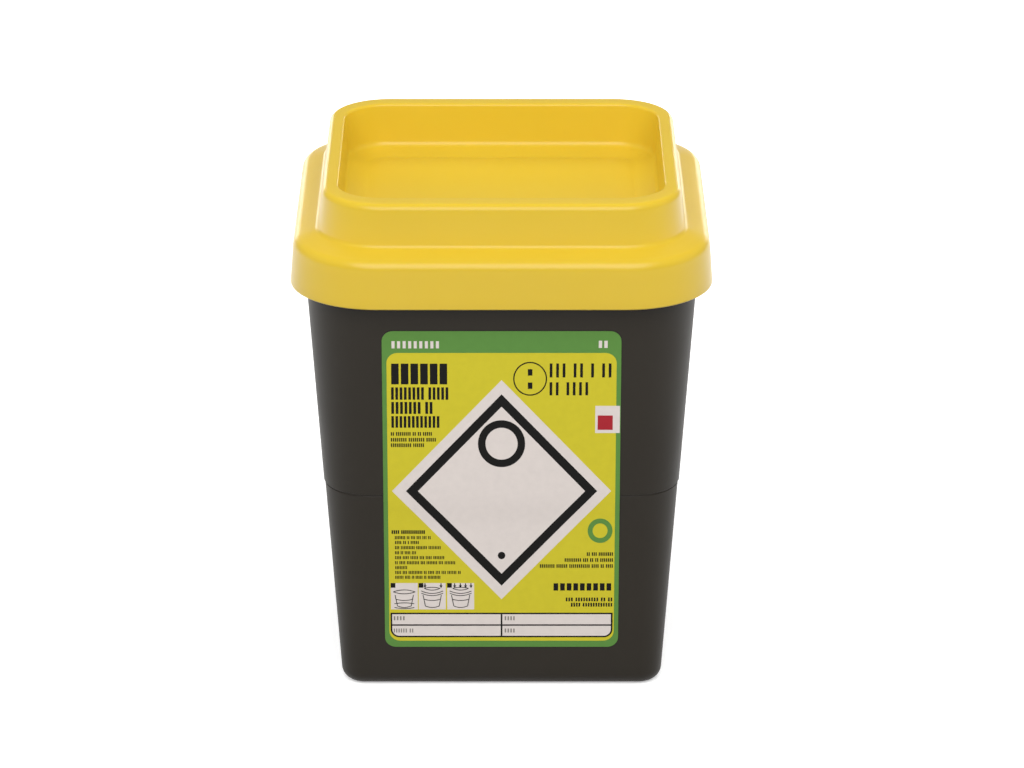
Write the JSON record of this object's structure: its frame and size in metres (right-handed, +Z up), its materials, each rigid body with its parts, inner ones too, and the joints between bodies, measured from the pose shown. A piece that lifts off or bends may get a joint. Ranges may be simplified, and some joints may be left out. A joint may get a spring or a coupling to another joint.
{
  "type": "sharps container",
  "caption": "Square clinical waste container: tapered dark tub with a rounded foot, push-on yellow lid with a raised hollow square ring and tray, and a printed front label.",
  "frame": {"origin": "centre of the foot, on the surface that the container stands on", "axes": "+Z up through the lid, front label towards -Y, +X to the right of someone facing the label"},
  "size_m": [0.1682, 0.1682, 0.2088],
  "materials": {
    "tub_plastic": "moulded satin polypropylene, dark warm grey",
    "lid_plastic": "moulded semi-gloss polypropylene, warm yellow",
    "label_film": "printed adhesive film, green border on a yellow panel"
  },
  "bodies": {
    "base": {"tub": "tub_plastic", "front_label": "label_film"},
    "lid": {"lid": "lid_plastic"}
  },
  "joints": [
    {"name": "lid_lift", "type": "slide", "parent": "base", "child": "lid", "axis": [0, 0, 1], "range_m": [0, 0.22]}
  ]
}
